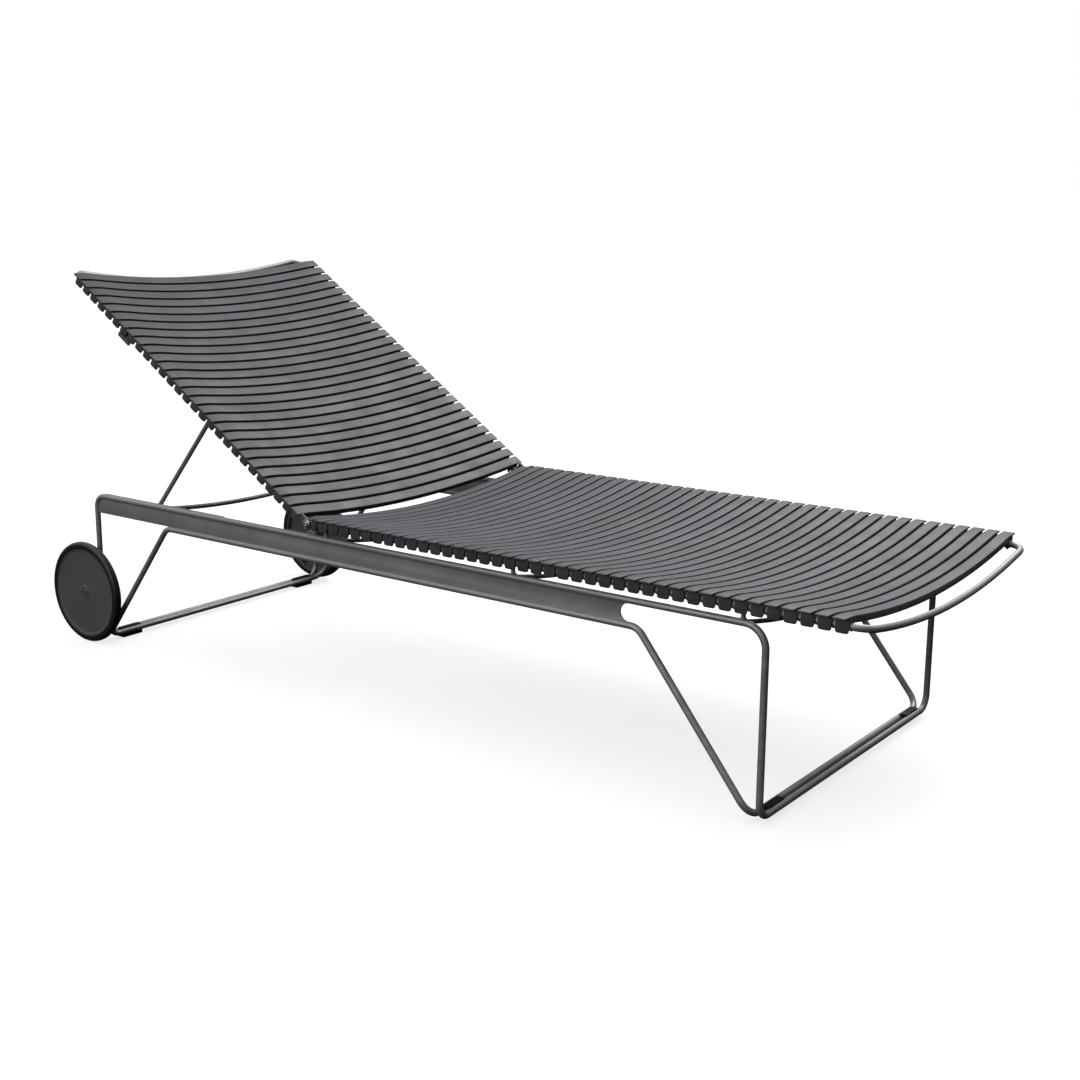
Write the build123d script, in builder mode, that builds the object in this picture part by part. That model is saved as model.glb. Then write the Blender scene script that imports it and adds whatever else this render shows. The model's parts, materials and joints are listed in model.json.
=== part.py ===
"""Reclining sun lounger: a bent-rod steel frame, clip-on slats, a ratchet prop and two wheels.

Millimetres. +X points to the foot end, +Y across the lounger and +Z up. The origin is on the
ground, at the middle of the lounger's plan. The backrest stands at its rest angle.
"""
import os
from math import cos, radians, sin, tan

from build123d import *

# ---- driving dimensions -------------------------------------------------------------------
rod_d = 12.0                # main frame rod
rod_r = rod_d / 2
hinge_x = -176.9            # backrest hinge, along the lounger
hinge_z = 358.4             # backrest hinge, above the ground
back_angle = 33.8           # backrest above the horizontal at rest

beam_y = 334.4              # side frames, either side of the middle
upper_z = 330.3             # centre of the upper rod
lower_z = 287.3             # centre of the lower rod
floor_z = 13.4              # centre of the rods along the ground
pair_gap = 16.5             # between the two rods along the ground
foot_leg_x = hinge_x + 976.6
head_leg_x = hinge_x - 658.2
lower_foot_x = hinge_x + 743.6
lower_head_x = hinge_x - 428.3
foot_bend_r = 38.0          # upper rod into the foot leg
head_bend_r = 25.0          # upper rod into the head leg
lower_bend_r = 30.0         # lower rod into the sloping struts
floor_bend_r = 28.0         # legs into the rods along the ground
stub = 2.0                  # straight rod left past each bend, where two rods meet

plate_t = 3.0               # web between upper and lower rod
plate_foot_x = hinge_x + 710.0
weld = 0.4                  # how far welded pieces run into each other

rail_y = beam_y             # seat and back rails run over the side frames
seat_rail_z = 356.0
back_rail_n = -8.0          # back rail, square to the backrest, from the hinge line
rail_bend_r = 30.0
foot_bow_slope = 10.2       # how steeply the end bows leave the rails, in degrees
head_bow_slope = 12.0
foot_bow_x = 1141.7         # centre of the foot bow from the hinge
head_bow_s = 830.5          # centre of the head bow from the hinge, along the backrest
seat_rail_start = 8.0       # rails start this far from the hinge
back_rail_start = 20.0

bearer_d = 8.0
bearer_every = 16           # slats between the bearers, which stand under the second slat first
bearer_slope = 12.8         # how steeply their bars leave the upper rods, in degrees

seat_slats = 40
back_slats = 28
seat_pitch = 28.0
back_pitch = 28.2
seat_first = 12.1           # centre of the first seat slat from the hinge
back_first = 32.1
slat_group = 4              # slats to a node

wheel_r = 112.5
wheel_x = head_leg_x - 23.2
wheel_z = 113.0
wheel_in_y = 349.0
wheel_out_y = 367.0
axle_r = 5.0
running_gap = 0.05          # radial clearance of every running fit

pivot_s = 347.2             # prop pivot along the backrest
pivot_n = -18.0             # prop pivot, square to the backrest
prop_angle = 49.5           # prop leg below the horizontal at rest
prop_length = 288.8         # pivot to the ends of the cross bar
prop_d = 10.0
prop_y = 310.0
prop_bend_r = 14.0
prop_slope = 12.9

rack_head_x = hinge_x - 640.0
rack_foot_x = hinge_x - 250.0

a = radians(back_angle)
along = Vector(-cos(a), 0, sin(a))          # up the backrest
square = Vector(sin(a), 0, cos(a))          # out of the backrest's upper face
hinge = Vector(hinge_x, 0, hinge_z)
sides = (("left", 1), ("right", -1))

os.makedirs("parts", exist_ok=True)


def write(piece, name):
    """Label a finished piece and write its STEP file."""
    piece.part.label = name
    export_step(piece.part, f"parts/{name}.step")


def bent_rod(points, radii, diameter):
    """A round rod along straight runs joined by tangent bends, one radius for each corner."""
    with BuildPart() as rod:
        with BuildLine() as path:
            FilletPolyline(*points, radius=radii)
        with BuildSketch(Plane(origin=path.line @ 0, z_dir=path.line % 0)):
            Circle(diameter / 2)
        sweep(path=path.line)
    return rod


def straight_rod(start, end, diameter):
    """A round rod from start to end."""
    with BuildPart() as rod:
        with BuildLine() as path:
            Line(start, end)
        with BuildSketch(Plane(origin=path.line @ 0, z_dir=path.line % 0)):
            Circle(diameter / 2)
        sweep(path=path.line)
    return rod


def bowed_rod(frame, reach, half_width, bend_r, slope, diameter, in_plane):
    """A rod across a frame's end: a bend out of each side, and a shallow bow between them.

    frame: x runs along the sides towards the bow, y across. reach is the bow's place along x.
    The bow falls below the frame, or lies in its plane when in_plane is set.
    """
    g = radians(slope)
    turn = radians(90 - slope) if in_plane else radians(90)
    inward = Vector(0, -1, 0) if in_plane else Vector(0, -cos(g), -sin(g))
    out = Vector(1, 0, 0)
    start = Vector(reach - bend_r * sin(turn), half_width, 0)
    half = start + out * bend_r * sin(turn / 2) + inward * bend_r * (1 - cos(turn / 2))
    end = start + out * bend_r * sin(turn) + inward * bend_r * (1 - cos(turn))
    drop = end.Y * tan(g / 2)
    middle = Vector(end.X + drop, 0, 0) if in_plane else Vector(end.X, 0, end.Z - drop)
    near = [(point.X, point.Y, point.Z) for point in (start, half, end)]
    far = [(x, -y, z) for x, y, z in reversed(near)]
    with BuildPart() as rod:
        with BuildLine(frame) as path:
            ThreePointArc(*near)
            ThreePointArc(near[-1], (middle.X, 0, middle.Z), far[0])
            ThreePointArc(*far)
        with BuildSketch(Plane(origin=path.line @ 0, z_dir=path.line % 0)):
            Circle(diameter / 2)
        sweep(path=path.line)
    return rod


# ---- side frames: rods and web plates -----------------------------------------------------
strut_foot = (Vector(foot_leg_x - pair_gap, 0, floor_z) - Vector(lower_foot_x, 0, lower_z)).normalized()
strut_head = (Vector(head_leg_x + pair_gap, 0, floor_z) - Vector(lower_head_x, 0, lower_z)).normalized()
strut_stub = lower_bend_r / 2 + stub
floor_stub = floor_bend_r + stub
foot_leg_top = upper_z - foot_bend_r - stub
head_leg_top = upper_z - head_bend_r - stub
leg_bottom = floor_z + floor_stub

for side, sign in sides:
    y = sign * beam_y
    upper_rail = bent_rod(
        [
            (foot_leg_x, y, foot_leg_top),
            (foot_leg_x, y, upper_z),
            (head_leg_x, y, upper_z),
            (head_leg_x, y, head_leg_top),
        ],
        (foot_bend_r, head_bend_r),
        rod_d,
    )
    write(upper_rail, f"upper_rail_{side}")

    foot_corner = Vector(lower_foot_x, y, lower_z)
    head_corner = Vector(lower_head_x, y, lower_z)
    lower_rail = bent_rod(
        [
            foot_corner + strut_foot * strut_stub,
            foot_corner,
            head_corner,
            head_corner + strut_head * strut_stub,
        ],
        lower_bend_r,
        rod_d,
    )
    write(lower_rail, f"lower_rail_{side}")

    web_top = upper_z - rod_r + weld
    web_bottom = lower_z + rod_r - weld
    web_head_x = head_leg_x + rod_r - weld
    notch_r = (web_top - web_bottom) / 2 - weld
    web_length = plate_foot_x + notch_r - web_head_x
    with BuildPart() as side_plate:
        with BuildSketch(Plane.XZ.offset(-y - plate_t / 2)) as outline:
            with Locations((web_head_x, web_bottom)):
                Rectangle(web_length, web_top - web_bottom, align=(Align.MIN, Align.MIN))
            fillet(outline.vertices().group_by(Axis.X)[0].sort_by(Axis.Y)[-1], head_bend_r - rod_r)
            with Locations((plate_foot_x + notch_r, (web_top + web_bottom) / 2)):
                Circle(notch_r, mode=Mode.SUBTRACT)
        extrude(amount=plate_t)
    write(side_plate, f"side_plate_{side}")


def pair_of(rods):
    """Two like rods, one on each side, as one piece."""
    with BuildPart() as pair:
        for rod in rods:
            add(rod.part)
    return pair


foot_legs = pair_of(
    straight_rod((foot_leg_x, s * beam_y, leg_bottom), (foot_leg_x, s * beam_y, foot_leg_top), rod_d)
    for _, s in sides
)
write(foot_legs, "foot_legs")
head_legs = pair_of(
    straight_rod((head_leg_x, s * beam_y, leg_bottom), (head_leg_x, s * beam_y, head_leg_top), rod_d)
    for _, s in sides
)
write(head_legs, "head_legs")

foot_strut_end = Vector(foot_leg_x - pair_gap, 0, floor_z)
head_strut_end = Vector(head_leg_x + pair_gap, 0, floor_z)
for name, top_x, bottom, slope_dir in (
    ("foot_struts", lower_foot_x, foot_strut_end, strut_foot),
    ("head_struts", lower_head_x, head_strut_end, strut_head),
):
    top = Vector(top_x, 0, lower_z) + slope_dir * strut_stub
    low = bottom - slope_dir * floor_stub
    aside = Vector(0, beam_y, 0)
    struts = pair_of(straight_rod(top + aside * s, low + aside * s, rod_d) for _, s in sides)
    write(struts, name)

for name, corner, rise in (
    ("foot_floor_bar_outer", Vector(foot_leg_x, 0, floor_z), Vector(0, 0, 1)),
    ("foot_floor_bar_inner", foot_strut_end, strut_foot * -1),
    ("head_floor_bar_outer", Vector(head_leg_x, 0, floor_z), Vector(0, 0, 1)),
    ("head_floor_bar_inner", head_strut_end, strut_head * -1),
):
    left = corner + Vector(0, beam_y, 0)
    right = corner - Vector(0, beam_y, 0)
    stub_up = rise * floor_stub
    floor_bar = bent_rod([left + stub_up, left, right, right + stub_up], floor_bend_r, rod_d)
    write(floor_bar, name)

# ---- feet: a rib between both rods, a low cap over the gap and a pad on the ground -----------
foot_in_y = 246.0
foot_out_y = 298.0
foot_length = foot_out_y - foot_in_y
foot_edge_r = 2.0
rib_half_width = (pair_gap - rod_d) / 2
cap_half_width = 7.5
cap_t = 4.4
cap_top = floor_z + rod_r + 2.6
pad_half_width = 12.0          # at the head end, under both rods
pad_top = 9.5
glide_half_width = 7.0         # at the foot end, under the inner rod only
glide_length = 16.0
rib_bottom = pad_top - 2.5

for name, middle_x, pad_x, half_width, length in (
    ("foot_end_feet", foot_leg_x - pair_gap / 2, foot_leg_x - pair_gap, glide_half_width, glide_length),
    ("head_end_feet", head_leg_x + pair_gap / 2, head_leg_x + pair_gap / 2, pad_half_width, foot_length),
):
    rods_at = ((middle_x - pair_gap / 2, floor_z), (middle_x + pair_gap / 2, floor_z))
    pad_out_y = (foot_in_y + foot_out_y + length) / 2
    with BuildPart() as feet:
        with BuildSketch(Plane.XZ.offset(-foot_out_y)):
            with Locations((middle_x, (cap_top + rib_bottom) / 2)):
                Rectangle(2 * rib_half_width, cap_top - rib_bottom)
            with Locations((middle_x, cap_top - cap_t / 2)):
                RectangleRounded(2 * cap_half_width, cap_t, foot_edge_r)
            with Locations(*rods_at):
                Circle(rod_r, mode=Mode.SUBTRACT)
        extrude(amount=foot_length)
        with BuildSketch(Plane.XZ.offset(-pad_out_y)):
            with Locations((pad_x, pad_top / 2)):
                RectangleRounded(2 * half_width, pad_top, foot_edge_r)
            with Locations(*rods_at):
                Circle(rod_r, mode=Mode.SUBTRACT)
        extrude(amount=length)
        mirror(about=Plane.XZ)
    write(feet, name)

# ---- ratchet racks on the inner side of the upper rods --------------------------------------
rack_wall = 2.0
rack_out_y = beam_y - rod_r + weld
rack_in_y = 292.0
rack_floor_z = 298.0
rack_top_z = 336.0
tooth_base_z = rack_floor_z + rack_wall
tooth_top_z = 305.0
tooth_wall = 3.0
tooth_pitch = 26.0
tooth_crest = 0.55          # where the crest starts, ends and falls to the floor, in pitches
tooth_crest_end = 0.72
tooth_fall_end = 0.78
rack_corner = 6.0
rack_length = rack_foot_x - rack_head_x
tooth_count = int((rack_length - weld) // tooth_pitch)

for side, sign in sides:
    with BuildPart() as rack:
        with BuildSketch(Plane.YZ.offset(rack_head_x)):
            with Locations((sign * (rack_out_y - rack_wall / 2), (rack_floor_z + rack_top_z) / 2)):
                Rectangle(rack_wall, rack_top_z - rack_floor_z)
            with Locations((sign * (rack_out_y + rack_in_y) / 2, rack_floor_z + rack_wall / 2)):
                Rectangle(rack_out_y - rack_in_y, rack_wall)
        extrude(amount=rack_length)
        with BuildSketch(Plane.XZ.offset(-sign * (rack_in_y + tooth_wall / 2) - tooth_wall / 2)):
            with BuildLine():
                teeth = [(rack_head_x, tooth_base_z - weld), (rack_head_x, tooth_base_z)]
                for tooth in range(tooth_count):
                    toe_x = rack_head_x + tooth * tooth_pitch
                    teeth.append((toe_x + tooth_pitch * tooth_crest, tooth_top_z))
                    teeth.append((toe_x + tooth_pitch * tooth_crest_end, tooth_top_z))
                    teeth.append((toe_x + tooth_pitch * tooth_fall_end, tooth_base_z))
                    teeth.append((toe_x + tooth_pitch, tooth_base_z))
                teeth.append((rack_foot_x, tooth_base_z))
                teeth.append((rack_foot_x, tooth_base_z - weld))
                Polyline(*teeth, close=True)
            make_face()
        extrude(amount=tooth_wall)
        top_corners = rack.edges().filter_by(Axis.Y).group_by(Axis.Z)[-1]
        chamfer(top_corners, rack_corner)
    write(rack, f"rack_{side}")

# ---- seat frame: bearers, rails and foot bow ------------------------------------------------
seat_frame = Plane(origin=(hinge_x, 0, seat_rail_z), x_dir=(1, 0, 0), z_dir=(0, 0, 1))
post_top = seat_rail_z - rod_r + weld
post_bottom = upper_z + rod_r - weld
bearer_end_y = beam_y - rod_r + weld
bearer_sag = bearer_end_y * tan(radians(bearer_slope / 2))

for order, name in enumerate(("seat_bearer_head", "seat_bearer_middle", "seat_bearer_foot")):
    x = hinge_x + seat_first + (1 + order * bearer_every) * seat_pitch
    with BuildPart() as bearer:
        with BuildLine(Plane.YZ.offset(x)) as path:
            ThreePointArc((bearer_end_y, upper_z), (0, upper_z - bearer_sag), (-bearer_end_y, upper_z))
        with BuildSketch(Plane(origin=path.line @ 0, z_dir=path.line % 0)):
            Circle(bearer_d / 2)
        sweep(path=path.line)
        for s in (1, -1):
            add(straight_rod((x, s * rail_y, post_bottom), (x, s * rail_y, post_top), bearer_d).part)
    write(bearer, name)

for side, sign in sides:
    seat_rail = straight_rod(
        (hinge_x + seat_rail_start, sign * rail_y, seat_rail_z),
        (hinge_x + foot_bow_x - rail_bend_r, sign * rail_y, seat_rail_z),
        rod_d,
    )
    write(seat_rail, f"seat_rail_{side}")

foot_bow = bowed_rod(seat_frame, foot_bow_x, rail_y, rail_bend_r, foot_bow_slope, rod_d, False)
write(foot_bow, "foot_bow")

# ---- backrest frame -------------------------------------------------------------------------
back_frame = Plane(origin=hinge + square * back_rail_n, x_dir=along, z_dir=square)
for side, sign in sides:
    # the backrest plane's own y axis points to the right side
    back_rail = straight_rod(
        back_frame.from_local_coords(Vector(back_rail_start, -sign * rail_y, 0)),
        back_frame.from_local_coords(Vector(head_bow_s - rail_bend_r, -sign * rail_y, 0)),
        rod_d,
    )
    write(back_rail, f"back_rail_{side}")

head_bow = bowed_rod(back_frame, head_bow_s, rail_y, rail_bend_r, head_bow_slope, rod_d, False)
write(head_bow, "head_bow")

# ---- hinges ---------------------------------------------------------------------------------
lug_t = 4.0
seat_lug_y = 340.0
seat_lug_end = 12.4         # how far from the hinge the seat lug ends
back_lug_y = 344.5
seat_lug_r = 8.5
back_lug_r = 10.5
bolt_r = 4.0
lug_block = 7.0             # length of the back lug's boss, where the rail meets it
lug_block_over = 3.0        # the boss is this much higher than the rail
bolt_gap = 0.4
bolt_head_r = 5.8
bolt_head_t = 3.4
bolt_edge_r = 1.2
nut_r = 6.5
nut_t = 4.2
bolt_past_nut = 0.8
socket_r = 2.4
socket_depth = 2.0
hinge_side = Plane(origin=(hinge_x, 0, hinge_z), x_dir=(1, 0, 0), z_dir=(0, -1, 0))
back_side = Plane(origin=(hinge_x, 0, hinge_z), x_dir=along * -1, z_dir=(0, -1, 0))

with BuildPart() as seat_hinge_lugs:
    with BuildSketch(hinge_side.offset(-seat_lug_y - lug_t)):
        Circle(seat_lug_r)
        Rectangle(seat_lug_end, 2 * seat_lug_r, align=(Align.MIN, Align.CENTER))
        Circle(bolt_r, mode=Mode.SUBTRACT)
    extrude(amount=lug_t)
    mirror(about=Plane.XZ)
write(seat_hinge_lugs, "seat_hinge_lugs")

with BuildPart() as back_hinge_lugs:
    with BuildSketch(back_side.offset(-back_lug_y - lug_t)):
        Circle(back_lug_r)
        Rectangle(back_rail_start, 2 * back_lug_r, align=(Align.MAX, Align.CENTER))
        Circle(bolt_r + running_gap, mode=Mode.SUBTRACT)
    extrude(amount=lug_t)
    with BuildSketch(back_side.offset(-back_lug_y - lug_t)):
        with Locations((-back_rail_start + lug_block / 2, back_rail_n)):
            Rectangle(lug_block, rod_d + lug_block_over)
    extrude(amount=back_lug_y + lug_t - rail_y + rod_r)
    mirror(about=Plane.XZ)
write(back_hinge_lugs, "back_hinge_lugs")

bolt_head_y = back_lug_y + lug_t + bolt_gap
with BuildPart() as hinge_bolts:
    with BuildSketch(hinge_side.offset(-bolt_head_y)):
        Circle(bolt_r)
    extrude(amount=bolt_head_y - seat_lug_y + nut_t + bolt_past_nut)
    with BuildSketch(hinge_side.offset(-bolt_head_y - bolt_head_t)):
        Circle(bolt_head_r)
    extrude(amount=bolt_head_t)
    with BuildSketch(hinge_side.offset(-seat_lug_y)):
        RegularPolygon(nut_r, 6)
    extrude(amount=nut_t)
    fillet(hinge_bolts.edges().filter_by(GeomType.CIRCLE).sort_by(Axis.Y)[-1], bolt_edge_r)
    with BuildSketch(hinge_side.offset(-bolt_head_y - bolt_head_t)):
        RegularPolygon(socket_r, 6)
    extrude(amount=socket_depth, mode=Mode.SUBTRACT)
    mirror(about=Plane.XZ)
write(hinge_bolts, "hinge_bolts")

# ---- slats ----------------------------------------------------------------------------------
slat_w = 22.0
slat_half = 357.5
slat_end_top = 17.3         # above the rail's centre
slat_middle_top = -11.0
slat_depth = 12.0
slat_skin = 3.0
flange_t = 2.6
ease_y = 315.0              # the dished top eases to level from here
ease_top = 14.4
corner_r = 2.0
nose_t = 3.2                # the strip's end stands out past the tab this thick
tab_y = 345.5               # outer face of the tab
tab_t = 3.5
tab_bottom = -9.6
tab_corner_r = 4.5
seat_on_rail = rod_r + 0.1
clip_gap = 0.5              # clearance of the clips and of the cut-backs by the hinge
inner_y = rail_y - rod_r - clip_gap
end_rise = 1.6              # the strip's underside runs this much higher past the dish
hollow_rise = 0.6
jaw_w = 3.6
jaw_at = 8.0                # either side of the slat's middle, clear of the bearers' posts
jaw_in_y = 321.9
hook_high = -rod_r - 0.2
hook_low = -rod_r - 2.6
hook_tip = 3.5              # how far a hook's upper and lower edges reach under the rail
hook_tip_low = 2.5
hook_back = 2.0
hollow_y = 317.4
notch_length = 11.6         # the first seat slat is cut back this far beside the hinge
notch_y = seat_lug_y - clip_gap
nut_notch_y = seat_lug_y - nut_t - bolt_past_nut - bolt_gap
nut_top = hinge_z - seat_rail_z + nut_r + clip_gap
reach_past = 30.0           # cutting shapes run this far past the slat


def slat_section(trim):
    """One slat, with its middle over the rail line: a dished strip with a clip at each end."""
    with BuildPart() as slat:
        with BuildSketch(Plane.YZ.offset(-slat_w / 2)):
            with BuildLine():
                level = slat_half - corner_r
                under = ease_top + end_rise - slat_depth
                ThreePointArc((-ease_y, ease_top), (0, slat_middle_top), (ease_y, ease_top))
                TangentArc((level, slat_end_top), (ease_y, ease_top), tangent=(-1, 0))
                TangentArc((level, slat_end_top), (slat_half, slat_end_top - corner_r), tangent=(1, 0))
                Polyline(
                    (slat_half, slat_end_top - corner_r),
                    (slat_half, slat_end_top - nose_t),
                    (tab_y, slat_end_top - nose_t),
                    (tab_y, tab_bottom),
                    (tab_y - tab_t, tab_bottom),
                    (tab_y - tab_t, seat_on_rail),
                    (inner_y, seat_on_rail),
                    (inner_y, under),
                )
                ThreePointArc((inner_y, under), (0, slat_middle_top - slat_depth), (-inner_y, under))
                Polyline(
                    (-inner_y, under),
                    (-inner_y, seat_on_rail),
                    (-tab_y + tab_t, seat_on_rail),
                    (-tab_y + tab_t, tab_bottom),
                    (-tab_y, tab_bottom),
                    (-tab_y, slat_end_top - nose_t),
                    (-slat_half, slat_end_top - nose_t),
                    (-slat_half, slat_end_top - corner_r),
                )
                TangentArc((-level, slat_end_top), (-slat_half, slat_end_top - corner_r), tangent=(-1, 0))
                TangentArc((-level, slat_end_top), (-ease_y, ease_top), tangent=(1, 0))
            make_face()
        extrude(amount=slat_w)
        tab_corners = slat.edges().filter_by(Axis.Y).group_by(Axis.Z)[0]
        fillet(tab_corners, tab_corner_r)
        with BuildSketch(Plane.YZ.offset(-slat_w / 2 + flange_t)):
            with BuildLine():
                hollow_top = ease_top + hollow_rise - slat_skin
                hollow_middle = slat_middle_top - slat_skin
                ThreePointArc((-hollow_y, hollow_top), (0, hollow_middle), (hollow_y, hollow_top))
                Polyline(
                    (hollow_y, hollow_top),
                    (hollow_y, -reach_past),
                    (-hollow_y, -reach_past),
                    (-hollow_y, hollow_top),
                )
            make_face()
        extrude(amount=slat_w - 2 * flange_t, mode=Mode.SUBTRACT)
        for jaw_x in (-jaw_at, jaw_at):
            with BuildSketch(Plane.YZ.offset(jaw_x - jaw_w / 2)):
                for s in (1, -1):
                    with BuildLine():
                        Polyline(
                            (s * jaw_in_y, ease_top),
                            (s * inner_y, ease_top),
                            (s * inner_y, hook_high),
                            (s * (inner_y + hook_tip), hook_high),
                            (s * (inner_y + hook_tip_low), hook_low),
                            (s * (jaw_in_y + hook_back), hook_low),
                            close=True,
                        )
                    make_face()
            extrude(amount=jaw_w)
        if trim:
            # the first seat slat gives room to the hinge lugs and nuts beside it
            for start_y, height in ((notch_y, 2 * reach_past), (nut_notch_y, reach_past + nut_top)):
                with BuildSketch(Plane.XY.offset(-reach_past)):
                    for s in (1, -1):
                        with Locations((-slat_w / 2, s * (start_y + reach_past / 2))):
                            Rectangle(2 * notch_length, reach_past)
                extrude(amount=height, mode=Mode.SUBTRACT)
    return slat


slat = slat_section(False)
first_slat = slat_section(True)

for group in range(seat_slats // slat_group):
    with BuildPart() as slats:
        for i in range(group * slat_group, (group + 1) * slat_group):
            with Locations((hinge_x + seat_first + i * seat_pitch, 0, seat_rail_z)):
                add(first_slat.part if i == 0 else slat.part)
    write(slats, f"seat_slats_{group + 1}")

for group in range(back_slats // slat_group):
    with BuildPart() as slats:
        for i in range(group * slat_group, (group + 1) * slat_group):
            origin = hinge + square * back_rail_n + along * (back_first + i * back_pitch)
            with Locations(Plane(origin=origin, x_dir=along * -1, z_dir=square)):
                add(slat.part)
    write(slats, f"back_slats_{group + 1}")

# ---- backrest fittings: stop blocks and prop brackets ---------------------------------------
stop_s = 615.0
stop_length = 38.0
stop_low = -21.4            # reaches almost to the upper rod when the backrest lies flat
stop_high = back_rail_n - rod_r + weld
stop_in_y = 330.0
stop_out_y = 347.5
stop_lip_low = -26.0        # an outer lip reaches down past the upper rod's side
stop_lip_y = 341.2
stop_neck = -18.0           # the block narrows here, between the slats' hooks and tabs
stop_neck_in_y = 332.0
stop_neck_out_y = 341.4
stop_edge_r = 2.0
back_flat = Plane(origin=hinge, x_dir=along, z_dir=square)

with BuildPart() as stop_blocks:
    for s in (1, -1):
        with BuildSketch(back_flat.offset(stop_low)):
            with Locations((stop_s, s * (stop_in_y + stop_out_y) / 2)):
                RectangleRounded(stop_length, stop_out_y - stop_in_y, stop_edge_r)
        extrude(amount=stop_neck - stop_low)
        with BuildSketch(back_flat.offset(stop_lip_low)):
            with Locations((stop_s, s * (stop_lip_y + stop_out_y) / 2)):
                RectangleRounded(stop_length, stop_out_y - stop_lip_y, stop_edge_r)
        extrude(amount=stop_neck - stop_lip_low)
        with BuildSketch(back_flat.offset(stop_neck)):
            with Locations((stop_s, s * (stop_neck_in_y + stop_neck_out_y) / 2)):
                RectangleRounded(stop_length, stop_neck_out_y - stop_neck_in_y, stop_edge_r)
        extrude(amount=stop_high - stop_neck)
write(stop_blocks, "stop_blocks")

ear_in_y = 317.4
ear_out_y = 321.4
ear_r = 7.0
pin_r = 4.0
bracket_s = 356.4           # in the gap between two slats
bracket_w = 7.6
web_high = -6.0
web_low = -10.0
web_out_y = rail_y - 3.0
ear_lean = 2.0              # how far the ear's head-side edge leans in by the web
ear_turn = 53.13            # where the ear's foot-side edge meets its round end, in degrees
pivot_side = Plane(origin=hinge, x_dir=along, z_dir=(0, 1, 0))

with BuildPart() as prop_brackets:
    for s in (1, -1):
        with BuildSketch(back_flat.offset(web_low)):
            with Locations((bracket_s, s * (ear_in_y + web_out_y) / 2)):
                Rectangle(bracket_w, web_out_y - ear_in_y)
        extrude(amount=web_high - web_low)
        with BuildSketch(pivot_side.offset(s * (ear_in_y + ear_out_y) / 2 - lug_t / 2)):
            with Locations((pivot_s, pivot_n)):
                Circle(ear_r)
            with BuildLine():
                Polyline(
                    (pivot_s - ear_r, pivot_n),
                    (pivot_s - ear_r + ear_lean, web_high),
                    (bracket_s + bracket_w / 2, web_high),
                    (bracket_s + bracket_w / 2, web_low),
                    (pivot_s + ear_r * cos(radians(ear_turn)), pivot_n - ear_r * sin(radians(ear_turn))),
                    (pivot_s, pivot_n - ear_r),
                    close=True,
                )
            make_face()
            with Locations((pivot_s, pivot_n)):
                Circle(pin_r, mode=Mode.SUBTRACT)
        extrude(amount=lug_t)
write(prop_brackets, "prop_brackets")

# ---- prop: a U of rod, hung from the brackets, whose cross bar rides in the racks ------------
eye_r = 9.0
eye_t = 8.0
eye_overlap = 1.0           # the rod runs this far into the eye
side_gap = 0.4
pin_head_r = 6.5
pin_collar_r = 6.0
pin_head_t = 3.0
p = radians(prop_angle)
pivot = hinge + along * pivot_s + square * pivot_n
prop_frame = Plane(origin=pivot, x_dir=(-cos(p), 0, -sin(p)), z_dir=(-sin(p), 0, cos(p)))
leg_end = prop_length - prop_bend_r * sin(radians(90 - prop_slope))
eye_in_y = prop_y - eye_t / 2
eye_out_y = prop_y + eye_t / 2

with BuildPart() as prop_pins:
    for _, s in sides:
        pin_axis = Plane(origin=pivot, x_dir=(1, 0, 0), z_dir=(0, s, 0))
        with BuildSketch(pin_axis.offset(eye_in_y - side_gap)):
            Circle(pin_r)
        extrude(amount=ear_out_y - eye_in_y + side_gap)
        with BuildSketch(pin_axis.offset(eye_out_y + side_gap)):
            Circle(pin_collar_r)
        extrude(amount=ear_in_y - eye_out_y - side_gap)
        with BuildSketch(pin_axis.offset(eye_in_y - side_gap - pin_head_t)):
            Circle(pin_head_r)
        extrude(amount=pin_head_t)
write(prop_pins, "prop_pins")

for side, sign in sides:
    eye_side = Plane(origin=pivot, x_dir=prop_frame.x_dir, z_dir=(0, 1, 0)).offset(sign * prop_y)
    with BuildPart() as prop_leg:
        rod_start = eye_side.from_local_coords(Vector(eye_r - eye_overlap, 0, 0))
        with BuildSketch(Plane(origin=rod_start, z_dir=eye_side.x_dir)):
            Circle(prop_d / 2)
        extrude(amount=leg_end - eye_r + eye_overlap)
        with BuildSketch(eye_side.offset(-eye_t / 2)):
            Circle(eye_r)
        extrude(amount=eye_t)
        with BuildSketch(eye_side.offset(-eye_t)):
            Circle(pin_r + running_gap)
        extrude(amount=2 * eye_t, mode=Mode.SUBTRACT)
    write(prop_leg, f"prop_leg_{side}")

prop_bar = bowed_rod(prop_frame, prop_length, prop_y, prop_bend_r, prop_slope, prop_d, True)
write(prop_bar, "prop_bar")

# ---- wheels ---------------------------------------------------------------------------------
bracket_t = 4.0
bracket_in_y = beam_y + rod_r - weld
bracket_out_y = bracket_in_y + bracket_t
hub_in_y = 347.5
disc_face_y = 364.2
disc_back_y = 361.2
recess_y = 363.0
disc_r = 97.0
rim_in_r = 92.0             # the rim's flange, behind the face
rim_in_y = 351.0
rim_lip_r = 94.6
rim_lip_y = 365.2
edge_step = 1.0
hub_r = 15.0
hub_foot_r = 17.0
ring_in_r = 10.0            # raised ring around the axle's cap
ring_y = 365.4
bracket_r = 13.0
bracket_h = 24.0
bracket_past_leg = 4.0
cap_r = 8.8
cap_t = 2.6
cap_edge_r = 1.6
axle_nut_r = 8.5
axle_nut_t = 5.0
axle_past_nut = 1.0
spacer_r = 9.0
spokes = 6
spoke_in_r = 14.0
spoke_out_r = 94.0
spoke_t = 3.0
spoke_y = 352.0
tyre_edge_r = 7.0
tyre_bead_r = 1.5
wheel_axis = Plane(origin=(wheel_x, 0, wheel_z), x_dir=(1, 0, 0), z_dir=(0, 0, 1))

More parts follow.
